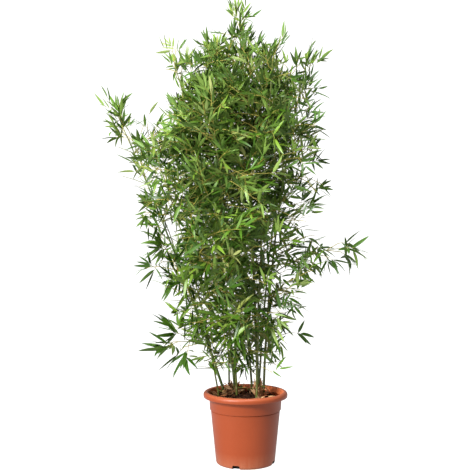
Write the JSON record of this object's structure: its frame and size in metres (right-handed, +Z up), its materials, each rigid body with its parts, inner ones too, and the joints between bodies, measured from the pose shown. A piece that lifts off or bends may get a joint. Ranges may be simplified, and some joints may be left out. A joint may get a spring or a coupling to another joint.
{
  "type": "potted bamboo",
  "caption": "Clumping bamboo with leaning jointed canes and masses of fine arching leaves, in a round plastic nursery pot with a rolled rim.",
  "frame": {"origin": "centre of the pot's underside, on its middle pad, at the level of the surface that the pot stands on", "axes": "+Z up, the way the canes grow; -Y is the front of the plant as pictured; +X is the picture's right, the side of the long lower branch"},
  "size_m": [0.8954, 0.6822, 1.5366],
  "materials": {
    "pot": "terracotta coloured moulded plastic, satin",
    "soil": "dark brown barky potting soil",
    "cane": "smooth green to yellow-green cane with pale joint rings, satin",
    "sheath": "dry papery brown sheaths",
    "leaf": "mid green leaves with a soft sheen, paler below"
  },
  "bodies": {
    "root": {"pot": "pot", "soil": "soil", "cane_left_outer": "cane", "cane_left_thin": "cane", "cane_back_left": "cane", "cane_left_thick": "cane", "cane_middle": "cane", "cane_tallest": "cane", "cane_right_tall": "cane", "cane_back_right": "cane", "cane_front_right": "cane", "cane_front_left": "cane", "sheaths_left_thick": "sheath", "sheaths_tallest": "sheath", "sheaths_left_outer": "sheath", "leaves_left_outer_1": "leaf", "leaves_left_outer_2": "leaf", "leaves_left_outer_3": "leaf", "leaves_left_outer_4": "leaf", "leaves_left_outer_5": "leaf", "leaves_left_thin_1": "leaf", "leaves_left_thin_2": "leaf", "leaves_left_thin_3": "leaf", "leaves_left_thin_4": "leaf", "leaves_left_thin_5": "leaf", "leaves_back_left_1": "leaf", "leaves_back_left_2": "leaf", "leaves_back_left_3": "leaf", "leaves_back_left_4": "leaf", "leaves_left_thick_1": "leaf", "leaves_left_thick_2": "leaf", "leaves_left_thick_3": "leaf", "leaves_left_thick_4": "leaf", "leaves_left_thick_5": "leaf", "leaves_middle_1": "leaf", "leaves_middle_2": "leaf", "leaves_middle_3": "leaf", "leaves_middle_4": "leaf", "leaves_tallest_1": "leaf", "leaves_tallest_2": "leaf", "leaves_tallest_3": "leaf", "leaves_tallest_4": "leaf", "leaves_tallest_5": "leaf", "leaves_right_tall_1": "leaf", "leaves_right_tall_2": "leaf", "leaves_right_tall_3": "leaf", "leaves_right_tall_4": "leaf", "leaves_right_tall_5": "leaf", "leaves_back_right_1": "leaf", "leaves_back_right_2": "leaf", "leaves_back_right_3": "leaf", "leaves_back_right_4": "leaf", "leaves_front_right_1": "leaf", "leaves_front_right_2": "leaf", "leaves_front_right_3": "leaf", "leaves_front_right_4": "leaf", "leaves_front_left_1": "leaf", "leaves_front_left_2": "leaf", "leaves_front_left_3": "leaf", "leaves_front_left_4": "leaf"}
  },
  "joints": []
}
